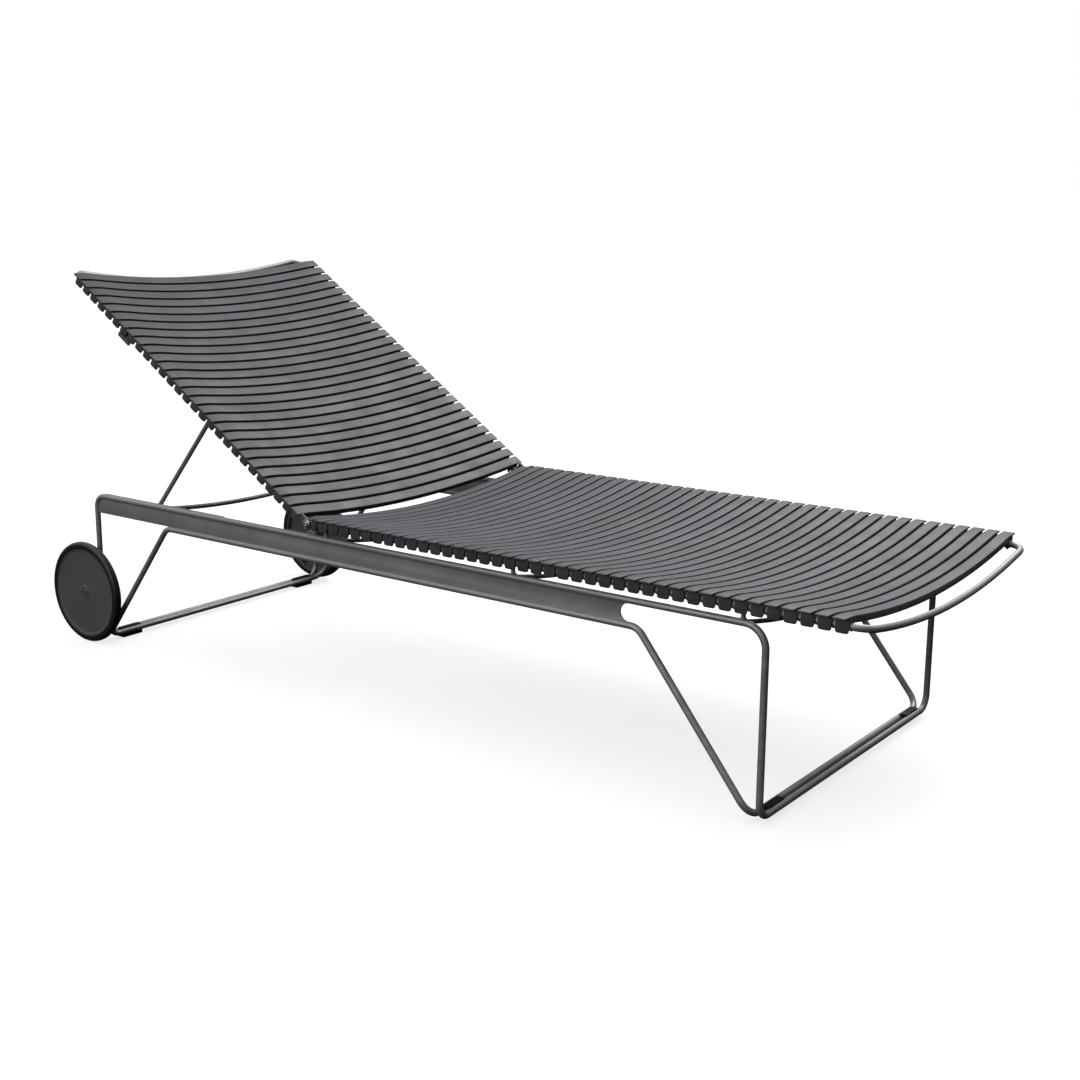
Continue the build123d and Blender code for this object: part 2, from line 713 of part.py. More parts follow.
with BuildPart() as wheel_brackets:
    for _, s in sides:
        with BuildSketch(Plane.XZ.offset(-s * (bracket_in_y + bracket_out_y) / 2 - bracket_t / 2)):
            with Locations((wheel_x, wheel_z)):
                Circle(bracket_r)
                Rectangle(
                    head_leg_x - wheel_x + bracket_past_leg, bracket_h, align=(Align.MIN, Align.CENTER)
                )
                Circle(axle_r, mode=Mode.SUBTRACT)
        extrude(amount=bracket_t)
write(wheel_brackets, "wheel_brackets")

with BuildPart() as axle_bolts:
    for _, s in sides:
        axle_axis = Plane(origin=(wheel_x, 0, wheel_z), x_dir=(1, 0, 0), z_dir=(0, s, 0))
        with BuildSketch(axle_axis.offset(bracket_in_y - axle_nut_t - axle_past_nut)):
            Circle(axle_r)
        extrude(amount=recess_y + side_gap - bracket_in_y + axle_nut_t + axle_past_nut)
        with BuildSketch(axle_axis.offset(recess_y + side_gap)):
            Circle(cap_r)
        extrude(amount=cap_t)
        with BuildSketch(axle_axis.offset(bracket_in_y - axle_nut_t)):
            RegularPolygon(axle_nut_r, 6)
        extrude(amount=axle_nut_t)
    cap_edges = axle_bolts.edges().filter_by(GeomType.CIRCLE).sort_by(Axis.Y)
    fillet([cap_edges[0], cap_edges[-1]], cap_edge_r)
write(axle_bolts, "axle_bolts")

with BuildPart() as axle_spacers:
    for _, s in sides:
        axle_axis = Plane(origin=(wheel_x, 0, wheel_z), x_dir=(1, 0, 0), z_dir=(0, s, 0))
        with BuildSketch(axle_axis.offset(bracket_out_y)):
            Circle(spacer_r)
            Circle(axle_r, mode=Mode.SUBTRACT)
        extrude(amount=hub_in_y - bracket_out_y - side_gap)
write(axle_spacers, "axle_spacers")

for side, sign in sides:
    with BuildPart() as wheel_disc:
        with BuildSketch(wheel_axis):
            with BuildLine():
                Polyline(
                    (axle_r + running_gap, sign * hub_in_y),
                    (hub_r, sign * hub_in_y),
                    (hub_foot_r, sign * disc_back_y),
                    (rim_in_r, sign * disc_back_y),
                    (rim_in_r + edge_step, sign * rim_in_y),
                    (disc_r, sign * rim_in_y),
                    (disc_r, sign * rim_lip_y),
                    (rim_lip_r, sign * rim_lip_y),
                    (rim_lip_r - edge_step, sign * disc_face_y),
                    (hub_r, sign * disc_face_y),
                    (hub_r - edge_step, sign * ring_y),
                    (ring_in_r, sign * ring_y),
                    (ring_in_r, sign * recess_y),
                    (axle_r + running_gap, sign * recess_y),
                    close=True,
                )
            make_face()
        revolve(axis=Axis((wheel_x, 0, wheel_z), (0, 1, 0)))
        spoke_origin = (wheel_x, sign * spoke_y, wheel_z)
        with BuildSketch(Plane(origin=spoke_origin, x_dir=(1, 0, 0), z_dir=(0, sign, 0))):
            with PolarLocations(0, spokes):
                with Locations(((spoke_in_r + spoke_out_r) / 2, 0)):
                    Rectangle(spoke_out_r - spoke_in_r, spoke_t)
        extrude(amount=disc_back_y - spoke_y + edge_step)
    write(wheel_disc, f"wheel_disc_{side}")

    with BuildPart() as tyre:
        with BuildSketch(wheel_axis) as section:
            with Locations(((disc_r + wheel_r) / 2, sign * (wheel_in_y + wheel_out_y) / 2)):
                Rectangle(wheel_r - disc_r, wheel_out_y - wheel_in_y)
            fillet(section.vertices().group_by(Axis.X)[-1], tyre_edge_r)
            fillet(section.vertices().group_by(Axis.X)[0], tyre_bead_r)
        revolve(axis=Axis((wheel_x, 0, wheel_z), (0, 1, 0)))
    write(tyre, f"tyre_{side}")
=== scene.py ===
"""Reclining sun lounger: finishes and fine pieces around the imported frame, on the frame's axes.

Places are in millimetres and are scaled to metres as each mesh is made.
"""
import json
from collections import namedtuple
from math import asin, ceil, cos, degrees, pi, radians, sin, tan

import bmesh
import bpy
from mathutils import Matrix, Vector
from mathutils.noise import random_unit_vector, seed_set


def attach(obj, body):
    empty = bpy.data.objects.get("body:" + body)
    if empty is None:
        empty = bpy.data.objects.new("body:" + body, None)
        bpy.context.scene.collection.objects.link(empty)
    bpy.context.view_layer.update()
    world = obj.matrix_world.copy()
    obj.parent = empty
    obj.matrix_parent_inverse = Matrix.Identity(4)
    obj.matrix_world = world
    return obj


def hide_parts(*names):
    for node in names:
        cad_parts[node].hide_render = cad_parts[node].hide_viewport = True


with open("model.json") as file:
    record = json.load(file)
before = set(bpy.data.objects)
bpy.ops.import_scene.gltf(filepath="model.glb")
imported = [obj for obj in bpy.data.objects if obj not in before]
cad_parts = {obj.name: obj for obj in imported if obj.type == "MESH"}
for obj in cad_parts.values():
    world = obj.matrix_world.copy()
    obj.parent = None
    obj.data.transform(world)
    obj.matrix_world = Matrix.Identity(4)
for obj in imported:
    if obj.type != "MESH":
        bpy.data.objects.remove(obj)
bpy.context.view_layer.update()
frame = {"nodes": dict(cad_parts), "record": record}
nodes = frame["nodes"]
MM = 0.001

# ---- places, in millimetres, as the frame has them -----------------------------------------
HINGE = Vector((-176.9, 0, 358.4))
BACK = radians(33.8)
ALONG = Vector((-cos(BACK), 0, sin(BACK)))
SQUARE = Vector((sin(BACK), 0, cos(BACK)))
ROD_R = 6.0
BEAM_Y = 334.4
UPPER_Z, LOWER_Z, FLOOR_Z = 330.3, 287.3, 13.4
FOOT_X, HEAD_X = HINGE.x + 976.6, HINGE.x - 658.2
LOW_FOOT_X, LOW_HEAD_X = HINGE.x + 743.6, HINGE.x - 428.3
PAIR = 16.5                           # between the two rods along the ground
FOOT_BEND_R, HEAD_BEND_R = 38.0, 25.0         # upper rod into the legs
LOWER_BEND_R, FLOOR_BEND_R = 30.0, 28.0       # lower rod into the struts, legs into the ground rods
STUB = 2.0                            # straight rod past a bend, where two rods meet
WELD = 0.4                            # how far welded pieces run into each other
RAIL_Z, RAIL_N = 356.0, -8.0          # seat rail above the ground, back rail below the hinge line
SEAT_RAIL_START, BACK_RAIL_START = 8.0, 20.0
FOOT_BOW_X, HEAD_BOW_S, BOW_BEND_R = 1141.7, 830.5, 30.0
FOOT_BOW_SLOPE, HEAD_BOW_SLOPE = 10.2, 12.0
SEAT_FIRST, SEAT_PITCH = 12.1, 28.0
BACK_FIRST, BACK_PITCH = 32.1, 28.2
WHEEL = Vector((HEAD_X - 23.2, 0, 113.0))
PIVOT = HINGE + ALONG * 347.2 + SQUARE * -18.0
PROP = radians(49.5)
PROP_Y, PROP_LENGTH = 310.0, 288.8
PROP_ROD_R, PROP_BEND_R, PROP_SLOPE = 5.0, 14.0, 12.9
BEARER_R, BEARER_SLOPE = 4.0, radians(12.8)
BEARER_EVERY = 16                     # slats between two bearers
SEAT_GROUPS, BACK_GROUPS, PER_GROUP = 10, 7, 4        # slats come four to a node
SIDES = (("left", 1), ("right", -1))


def V(x, y, z):
    """A point or direction from its three numbers."""
    return Vector((x, y, z))


# ---- node-graph helpers ----------------------------------------------------------------------
SOCKETS = {
    "colour": "Base Color",
    "roughness": "Roughness",
    "metallic": "Metallic",
    "specular": "Specular IOR Level",
    "coat": "Coat Weight",
    "coat_roughness": "Coat Roughness",
    "glow": "Emission Strength",
}


class Graph:
    """A material's node tree, with the few nodes that every finish here is made of."""

    def __init__(self, name):
        self.material = bpy.data.materials.new(name)
        self.material.use_nodes = True
        self.tree = self.material.node_tree
        self.shader = self.tree.nodes["Principled BSDF"]
        self.coords = self.add("ShaderNodeTexCoord").outputs["Object"]

    def add(self, kind, **settings):
        """A new node with its settings."""
        node = self.tree.nodes.new(kind)
        for key, value in settings.items():
            setattr(node, key, value)
        return node

    def link(self, a, b):
        """Join an output to an input."""
        self.tree.links.new(a, b)

    def noise(self, scale, detail=3.0, rough=0.5, stretch=None):
        """Noise over the object's own coordinates, in features per metre."""
        node = self.add("ShaderNodeTexNoise")
        node.inputs["Scale"].default_value = scale
        node.inputs["Detail"].default_value = detail
        node.inputs["Roughness"].default_value = rough
        if stretch:
            mapping = self.add("ShaderNodeMapping")
            mapping.inputs["Scale"].default_value = stretch
            self.link(self.coords, mapping.inputs["Vector"])
            self.link(mapping.outputs["Vector"], node.inputs["Vector"])
        else:
            self.link(self.coords, node.inputs["Vector"])
        return node.outputs["Fac"]

    def span(self, value, low, high, to_low, to_high):
        """The value moved from one range to another and kept within it."""
        node = self.add("ShaderNodeMapRange")
        node.inputs["From Min"].default_value = low
        node.inputs["From Max"].default_value = high
        node.inputs["To Min"].default_value = to_low
        node.inputs["To Max"].default_value = to_high
        self.link(value, node.inputs["Value"])
        return node.outputs["Result"]

    def spread(self, noise, low=0.0, high=1.0):
        """Noise, which keeps near its middle, spread over the whole range."""
        return self.span(noise, 0.3, 0.7, low, high)

    def math(self, operation, a, b):
        """Two numbers or links put together by one operation."""
        node = self.add("ShaderNodeMath", operation=operation)
        for socket, value in zip(node.inputs, (a, b)):
            if isinstance(value, (int, float)):
                socket.default_value = value
            else:
                self.link(value, socket)
        return node.outputs["Value"]

    def mix(self, factor, a, b):
        """Colour a to colour b by factor; each is a colour or a link."""
        node = self.add("ShaderNodeMix", data_type="RGBA")
        colours = [s for s in node.inputs if s.type == "RGBA"]
        for socket, value in ((node.inputs["Factor"], factor), (colours[0], a), (colours[1], b)):
            if isinstance(value, (int, float)):
                socket.default_value = value
            elif isinstance(value, tuple):
                socket.default_value = (*value, 1.0)
            else:
                self.link(value, socket)
        return [s for s in node.outputs if s.type == "RGBA"][0]

    def edges(self, low, high):
        """0 on flat faces to 1 on outer edges."""
        return self.span(self.add("ShaderNodeNewGeometry").outputs["Pointiness"], low, high, 0.0, 1.0)

    def bump(self, layers):
        """layers: (height, strength, distance in metres)."""
        normal = None
        for height, strength, distance in layers:
            node = self.add("ShaderNodeBump")
            node.inputs["Strength"].default_value = strength
            node.inputs["Distance"].default_value = distance
            self.link(height, node.inputs["Height"])
            if normal:
                self.link(normal, node.inputs["Normal"])
            normal = node.outputs["Normal"]
        self.link(normal, self.shader.inputs["Normal"])

    def set(self, **values):
        """Number or link for each shader socket named in SOCKETS; gives back the material."""
        for key, value in values.items():
            socket = self.shader.inputs[SOCKETS[key]]
            if isinstance(value, (int, float)):
                socket.default_value = value
            else:
                self.link(value, socket)
        return self.material


def paler(colour, times):
    """The colour of a rubbed edge."""
    return tuple(min(1.0, times * part) for part in colour)


def paint(name, dark, light, roughness, metallic, chips=0.25, coat=0.08):
    """Powder coat: cloudy tone, fine grain, orange-peel bump, worn outer edges."""
    g = Graph(name)
    cloud = g.spread(g.noise(9.0, 4.0))
    grain = g.spread(g.noise(900.0, 2.0))
    tone = g.math("ADD", g.math("MULTIPLY", cloud, 0.25), g.math("MULTIPLY", grain, 0.75))
    colour = g.mix(tone, dark, light)
    patches = g.span(g.noise(60.0, 4.0, 0.7), 0.45, 0.65, 0.0, chips)
    rub = g.math("MULTIPLY", g.edges(0.53, 0.62), patches)
    colour = g.mix(rub, colour, paler(light, 2.2))
    rough = g.spread(g.noise(22.0, 4.0), *roughness)
    g.bump(((g.noise(420.0, 2.0), 0.16, 0.0004), (g.noise(1600.0, 1.0), 0.1, 0.0002)))
    return g.set(colour=colour, roughness=rough, metallic=metallic, coat=coat, coat_roughness=0.3)


def plastic(name, dark, light, roughness, grain_scale, worn, specular=0.5, streak=0.0):
    """Moulded plastic: per-piece tone, cloudy colour, grain, streaks across, paler rubbed edges."""
    g = Graph(name)
    streaks = g.spread(g.noise(520.0, 3.0, 0.6, (1.0, 0.035, 1.0)), -streak, streak)
    tone_node = g.add("ShaderNodeAttribute", attribute_name="tone")
    cloud = g.spread(g.noise(9.0, 4.0))
    fine = g.spread(g.noise(grain_scale, 2.0))
    tone = g.math("ADD", g.math("MULTIPLY", cloud, 0.35), g.math("MULTIPLY", fine, 0.3))
    tone = g.math("ADD", tone, g.math("MULTIPLY", tone_node.outputs["Fac"], 0.35))
    tone = g.math("ADD", tone, streaks)
    colour = g.mix(tone, dark, light)
    patches = g.span(g.noise(35.0, 4.0, 0.65), 0.35, 0.65, 0.15, worn)
    rub = g.math("MULTIPLY", g.edges(0.52, 0.6), patches)
    colour = g.mix(rub, colour, paler(light, 1.8))
    rough = g.spread(g.noise(16.0, 4.0), *roughness)
    g.bump(((fine, 0.12, 0.00025), (streaks, 0.15, 0.0003), (g.noise(45.0, 3.0), 0.05, 0.0006)))
    return g.set(colour=colour, roughness=rough, specular=specular)


def steel(name):
    """Stainless steel with fine level brushing."""
    g = Graph(name)
    brushed = g.noise(260.0, 3.0, 0.6, (1.0, 1.0, 9.0))
    colour = g.mix(g.spread(brushed), (0.42, 0.42, 0.43), (0.66, 0.66, 0.67))
    g.bump(((brushed, 0.1, 0.0002),))
    rough = g.spread(g.noise(90.0, 3.0), 0.22, 0.4)
    return g.set(colour=colour, roughness=rough, metallic=1.0)


FRAME = paint(
    "frame_powder_coat", (0.245, 0.236, 0.235), (0.335, 0.323, 0.322), roughness=(0.36, 0.5), metallic=0.45
)
DARK = paint(
    "lug_dark_coat", (0.055, 0.054, 0.054), (0.085, 0.084, 0.084),
    roughness=(0.42, 0.55), metallic=0.2, chips=0.3, coat=0.0,
)
HUB = paint(
    "hub_black_coat", (0.06, 0.06, 0.061), (0.1, 0.1, 0.102), roughness=(0.3, 0.42), metallic=0.2, chips=0.3
)
SLAT = plastic(
    "slat_moulded_grey", (0.034, 0.033, 0.041), (0.068, 0.066, 0.079),
    roughness=(0.46, 0.6), grain_scale=900.0, worn=0.4, specular=0.4, streak=0.3,
)
BLACK = plastic(
    "black_moulded", (0.004, 0.004, 0.0045), (0.009, 0.009, 0.01),
    roughness=(0.5, 0.65), grain_scale=900.0, worn=0.3, specular=0.12,
)
DISC = plastic(
    "wheel_moulded", (0.074, 0.072, 0.072), (0.1, 0.098, 0.098),
    roughness=(0.42, 0.55), grain_scale=700.0, worn=0.35,
)
TYRE = plastic(
    "tyre_rubber", (0.006, 0.006, 0.006), (0.014, 0.013, 0.0125),
    roughness=(0.34, 0.48), grain_scale=800.0, worn=0.2,
)
STEEL = steel("fastener_stainless")
FINISH = {
    "frame_steel": FRAME,
    "slat_plastic": SLAT,
    "black_plastic": BLACK,
    "fastener_steel": STEEL,
    "hub_steel": HUB,
    "wheel_plastic": DISC,
    "tyre_rubber": TYRE,
}
OWN_FINISH = {"back_hinge_lugs": DARK, "stop_blocks": DISC}       # nodes unlike the rest of their slot
SLOT_OF = {part["node"]: part["material_slot"] for part in frame["record"]["subparts"]}
BODY_OF = {name: body for body, names in frame["record"]["behaviour"]["bodies"].items() for name in names}

for name, node in nodes.items():
    node.data.materials.clear()
    node.data.materials.append(FINISH[SLOT_OF[name]])


# ---- mesh helpers ----------------------------------------------------------------------------
MIDDLE_TONE = 0.5            # tone of a piece that has none of its own
ROD_SHARP = 60               # edges sharper than this many degrees stay sharp, on rods
EASED_SHARP = 38             # on eased CAD shapes


def finished(name, bm, node, sharp):
    """Turn a bmesh into one object that stands for a CAD node and has its body and finish."""
    bmesh.ops.recalc_face_normals(bm, faces=bm.faces)
    mesh = bpy.data.meshes.new(name)
    bm.to_mesh(mesh)
    bm.free()
    mesh.shade_smooth()
    mesh.set_sharp_from_angle(angle=radians(sharp))
    obj = bpy.data.objects.new(name, mesh)
    bpy.context.scene.collection.objects.link(obj)
    slot = SLOT_OF[node]
    mesh.materials.append(OWN_FINISH.get(node, FINISH[slot]))
    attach(obj, BODY_OF[node])
    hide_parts(node)


def put_shell(bm, points, faces):
    """Add one closed shell to a mesh, its points in mm, and give back its vertices."""
    verts = [bm.verts.new(Vector(point) * MM) for point in points]
    for face in faces:
        bm.faces.new([verts[i] for i in face])
    return verts


def piece(name, shells, node, sharp=ROD_SHARP, tones=None):
    """One object from several closed shells (points in mm, faces), in the place of a CAD node."""
    bm = bmesh.new()
    tone_layer = bm.verts.layers.float.new("tone")
    for k, (points, faces) in enumerate(shells):
        for vert in put_shell(bm, points, faces):
            vert[tone_layer] = tones[k] if tones else MIDDLE_TONE
    finished(name, bm, node, sharp)


def eased(node, width, extra=()):
    """A CAD node's own shape with its edges rounded over by width, in mm, and extra closed shells."""
    bm = bmesh.new()
    bm.from_mesh(nodes[node].data)
    bmesh.ops.remove_doubles(bm, verts=bm.verts, dist=0.002 * MM)
    bmesh.ops.dissolve_limit(bm, angle_limit=radians(1), verts=bm.verts, edges=bm.edges)
    corners = [e for e in bm.edges if e.is_manifold and e.calc_face_angle() > radians(35)]
    bmesh.ops.bevel(
        bm, geom=corners, offset=width * MM, segments=2, profile=0.6, affect="EDGES", clamp_overlap=True
    )
    bmesh.ops.triangulate(bm, faces=[f for f in bm.faces if len(f.verts) > 4])
    for points, faces in extra:
        put_shell(bm, points, faces)
    tone_layer = bm.verts.layers.float.new("tone")
    for vert in bm.verts:
        vert[tone_layer] = MIDDLE_TONE
    finished(f"{node}_eased", bm, node, EASED_SHARP)


def loft(rings):
    """A closed shell through equal rings of points, with a flat face on each end."""
    n = len(rings[0])
    verts = [p for ring in rings for p in ring]
    faces = []
    for a in range(len(rings) - 1):
        for i in range(n):
            j = (i + 1) % n
            faces.append([a * n + i, a * n + j, (a + 1) * n + j, (a + 1) * n + i])
    faces.append(list(range(n))[::-1])
    faces.append([(len(rings) - 1) * n + i for i in range(n)])
    return verts, faces


def rounded_path(points, radii, step=6.0):
    """Points along straight runs joined by tangent arcs, one radius for each inner corner."""
    points = [Vector(p) for p in points]
    path = [points[0]]
    for k, radius in zip(range(1, len(points) - 1), radii):
        before, corner, after = points[k - 1], points[k], points[k + 1]
        u, v = (before - corner).normalized(), (after - corner).normalized()
        inside = u.angle(v)
        reach = radius / tan(inside / 2)
        centre = corner + (u + v).normalized() * (radius / sin(inside / 2))
        start, end = corner + u * reach - centre, corner + v * reach - centre
        count = max(6, ceil(degrees(pi - inside) / step))
        sweep = start.angle(end)
        for i in range(count + 1):
            t = i / count
            path.append(centre + (start * sin((1 - t) * sweep) + end * sin(t * sweep)) / sin(sweep))
    path.append(points[-1])
    return path


def tube(path, radius, sides=28):
    """A round rod along a path of points, its rings carried along without twist."""
    rings, u = [], None
    for i, point in enumerate(path):
        ahead = path[min(i + 1, len(path) - 1)] - path[max(i - 1, 0)]
        t = ahead.normalized()
        if u is None:
            u = t.orthogonal().normalized()
        u = (u - t * u.dot(t)).normalized()
        w = t.cross(u)
        turns = [2 * pi * k / sides for k in range(sides)]
        rings.append([point + (u * cos(a) + w * sin(a)) * radius for a in turns])
    return loft(rings)


def lathe(profile, centre, sides=96):
    """A closed shell from a closed profile of (radius, y), turned about a line along Y."""
    n = len(profile)
    verts, faces = [], []
    for k in range(sides):
        a = 2 * pi * k / sides
        verts += [centre + Vector((r * cos(a), y, r * sin(a))) for r, y in profile]
    for k in range(sides):
        m = (k + 1) % sides
        for i in range(n):
            j = (i + 1) % n
            faces.append([k * n + i, k * n + j, m * n + j, m * n + i])
    return verts, faces


def rounded(profile, size, steps=3):
    """A closed profile with every corner rounded by about size; points on a straight run stay."""
    out = []
    count = len(profile)
    for k in range(count):
        p, q, s = (Vector(profile[(k + d) % count]) for d in (-1, 0, 1))
        if (p - q).angle(s - q) > radians(178):
            out.append(tuple(q))
            continue
        cut = min(size, (p - q).length * 0.45, (s - q).length * 0.45)
        a, b = q + (p - q).normalized() * cut, q + (s - q).normalized() * cut
        for i in range(steps + 1):
            t = i / steps
            out.append(tuple((1 - t) ** 2 * a + 2 * t * (1 - t) * q + t * t * b))
    return out


def prism(profile, place, near, far, edge=0.4):
    """A profile of (a, b) pushed from near to far, its two end rims rounded.

    place maps (a, b, depth) to a point.
    """
    middle = sum((Vector(p) for p in profile), Vector((0, 0))) / len(profile)
    sign = 1 if far > near else -1

    def ring(inset, depth):
        points = []
        for p in profile:
            toward = middle - Vector(p)
            points.append(place(*(Vector(p) + toward.normalized() * inset), depth))
        return points

    steps = ((1.0, 0.0), (0.3, 0.3), (0.0, 1.0))
    rings = [ring(edge * inset, near + sign * edge * depth) for inset, depth in steps]
    rings += [ring(edge * inset, far - sign * edge * depth) for inset, depth in reversed(steps)]
    return loft(rings)


def bead(centre, axis, ring_r, bead_r, waves=9):
    """A small weld bead around a rod."""
    axis = Vector(axis).normalized()
    u = axis.orthogonal().normalized()
    w = axis.cross(u)
    sides, around = 8, 40
    verts, faces = [], []
    for k in range(around):
        a = 2 * pi * k / around
        swell = bead_r * (1 + 0.14 * sin(waves * a) + 0.06 * sin(2.3 * waves * a + 1.0))
        out = u * cos(a) + w * sin(a)
        for i in range(sides):
            b = 2 * pi * i / sides
            verts.append(centre + out * (ring_r + swell * cos(b)) + axis * swell * sin(b))
    for k in range(around):
        m = (k + 1) % around
        for i in range(sides):
            j = (i + 1) % sides
            faces.append([k * sides + i, k * sides + j, m * sides + j, m * sides + i])
    return verts, faces


# ---- slats -----------------------------------------------------------------------------------
# a slat's own places: y out from its middle, height from the rail's centre, x across its width
DISH_R = 1965.9             # the dished top's radius
EASE_R = 284.2              # radius that eases it to level
EASE_Y = 315.0
LEVEL_Y = 355.5
END_TOP, MIDDLE_TOP = 17.3, -11.0
HALF_W = 11.0
SLAT_DEPTH, SLAT_SKIN, SLAT_WALL = 12.0, 3.0, 2.6
CROWN = 0.3                 # how much lower the top is at its long edges
TOP_EDGE_R = 1.5
NOSE_Y, NOSE_T, NOSE_R = 357.5, 3.3, 2.0
ON_RAIL, OVER_LUG = 6.1, 9.8            # underside over the rail, and over the hinge lug
TAB_Y, TAB_T, TAB_LOW, TAB_CORNER_R = 345.5, 3.5, -9.6, 4.5
CUT_Y = 339.4               # past here the first seat slat is cut back beside the hinge
CUT_CENTRE, CUT_HALF = 5.75, 5.25
CUT_TAB_X = 0.6
JAW_AT, JAW_T = 8.0, 3.6
JAW_TOP, HOOK_TOP, HOOK_LOW = 13.0, -6.2, -8.6
JAW_IN_Y = 321.9
JAW_OUT_Y = BEAM_Y - ROD_R - 0.5
DISH_STEPS = 12
SLAT_SHARP = 42
JAW = [
    (JAW_IN_Y, JAW_TOP),
    (JAW_OUT_Y - 0.1, JAW_TOP),
    (JAW_OUT_Y, HOOK_TOP + 0.05),
    (JAW_OUT_Y + 3.3, HOOK_TOP),
    (JAW_OUT_Y + 3.5, HOOK_TOP - 0.4),
    (JAW_OUT_Y + 2.7, HOOK_LOW + 0.3),
    (JAW_OUT_Y + 2.1, HOOK_LOW),
    (JAW_IN_Y + 2.7, HOOK_LOW),
    (JAW_IN_Y + 1.9, HOOK_LOW + 0.4),
]
Station = namedtuple("Station", "top under skin centre half edge")


def top_height(y):
    """The slat's top past the dish, where it eases to level."""
    return END_TOP - EASE_R * (1 - cos(asin((LEVEL_Y - y) / EASE_R)))


def slat_stations(notched):
    """Half a slat, from its middle to its nose, as sections across it."""
    stations = []

    def station(top, under, skin, centre=0.0, half=HALF_W, edge=TOP_EDGE_R):
        stations.append(Station(Vector(top), Vector(under), skin, centre, half, edge))

    # the dish
    for i in range(DISH_STEPS + 1):
        y = EASE_Y * i / DISH_STEPS
        a = asin(y / DISH_R)
        height = MIDDLE_TOP + DISH_R * (1 - cos(a))
        station((y, height), (y + SLAT_DEPTH * sin(a), height - SLAT_DEPTH * cos(a)), SLAT_SKIN)

    # the channel closes towards the rail
    for y, skin in ((319.0, 3.2), (323.0, 4.5), (327.6, 6.0)):
        station((y, top_height(y)), (y, top_height(y) - SLAT_DEPTH + 0.2), skin)

    # the solid end over the rail
    narrow = (CUT_CENTRE, CUT_HALF) if notched else (0.0, HALF_W)
    seat = OVER_LUG if notched else ON_RAIL
    for y in (328.0, 334.0, CUT_Y - 0.1, CUT_Y + 0.1, 341.9):
        centre, half = narrow if y > CUT_Y else (0.0, HALF_W)
        station((y, top_height(y)), (y, seat), top_height(y) - seat - 0.5, centre, half)

    # the thin end past the tab, and its round nose
    centre, half = narrow
    for y in (342.0, 348.0, 354.5):
        station((y, top_height(y)), (y, top_height(y) - NOSE_T), NOSE_T - 0.2, centre, half)
    for k in (0.0, 0.3, 0.55, 0.8, 1.0):
        a = k * pi / 2
        top = (NOSE_Y - NOSE_R + NOSE_R * sin(a), END_TOP - NOSE_R + NOSE_R * cos(a))
        under = (NOSE_Y - NOSE_R + 1.7 * k, END_TOP - NOSE_T)
        depth = (Vector(top) - Vector(under)).length
        station(top, under, depth - 0.2, centre, half - 1.6 * k ** 2, 1.2)
    return stations


def slat_ring(station, side):
    """The slat's channel section at a station, on the left (1) or right (-1) half."""
    top, under, skin, centre, half, edge = station
    depth = (under - top).length
    inward = (under - top) / depth
    lip = depth - skin
    lip_edge, root = min(0.4, lip * 0.3), min(1.0, lip * 0.4)
    flat = half - edge
    inner = half - SLAT_WALL

    def dip(x):
        return CROWN * (x / half) ** 2

    right = [(0.0, 0.0), (0.5 * flat, dip(0.5 * flat)), (flat, dip(flat))]
    for a in (pi / 8, pi / 4, 3 * pi / 8, pi / 2):
        right.append((flat + edge * sin(a), dip(flat) + edge - edge * cos(a)))
    right += [(half, depth - 0.5), (half - 0.15, depth - 0.15), (half - 0.5, depth)]
    right += [(inner + lip_edge, depth), (inner, depth - lip_edge)]
    right += [(inner, skin + root), (inner - root, skin)]
    loop = right + [(0.0, skin)] + [(-x, d) for x, d in right[:0:-1]]
    return [(centre + x, side * (top + inward * d).x, (top + inward * d).y) for x, d in loop]


def slat_shells(notched=False):
    """The dished strip, its two tabs and the jaws that grip the rails."""
    stations = slat_stations(notched)
    rings = [slat_ring(s, -1) for s in stations[:0:-1]] + [slat_ring(s, 1) for s in stations]
    shells = [loft(rings)]
    low, high, r = TAB_LOW, END_TOP - NOSE_R, TAB_CORNER_R
    right = HALF_W - 0.05
    left = CUT_TAB_X if notched else -right
    turns = [k * pi / 10 for k in range(6)]
    tab = [(left, high), (right, high)]
    tab += [(right - r + r * cos(a), low + r - r * sin(a)) for a in turns]
    tab += [(left + r - r * sin(a), low + r - r * cos(a)) for a in turns]
    for s in (1, -1):
        shells.append(prism(tab, lambda x, n, d, s=s: (x, s * d, n), TAB_Y - TAB_T, TAB_Y, 0.7))
        for x in (-JAW_AT, JAW_AT):
            near, far = x - JAW_T / 2, x + JAW_T / 2
            shells.append(prism(JAW, lambda y, n, d, s=s: (d, s * y, n), near, far, 0.3))
    return shells


def place_slat(shells, origin, x_dir, up):
    """A slat's shells moved to its place on the rails."""
    placed = []
    for verts, faces in shells:
        placed.append(([origin + x_dir * v[0] + V(0, v[1], 0) + up * v[2] for v in verts], faces))
    return placed


def slat_node(name, slats):
    """One node's slats, each given as its shells and its tone."""
    shells, tones = [], []
    for made, tone in slats:
        shells += made
        tones += [tone] * len(made)
    piece(f"{name}_moulded", shells, name, SLAT_SHARP, tones)


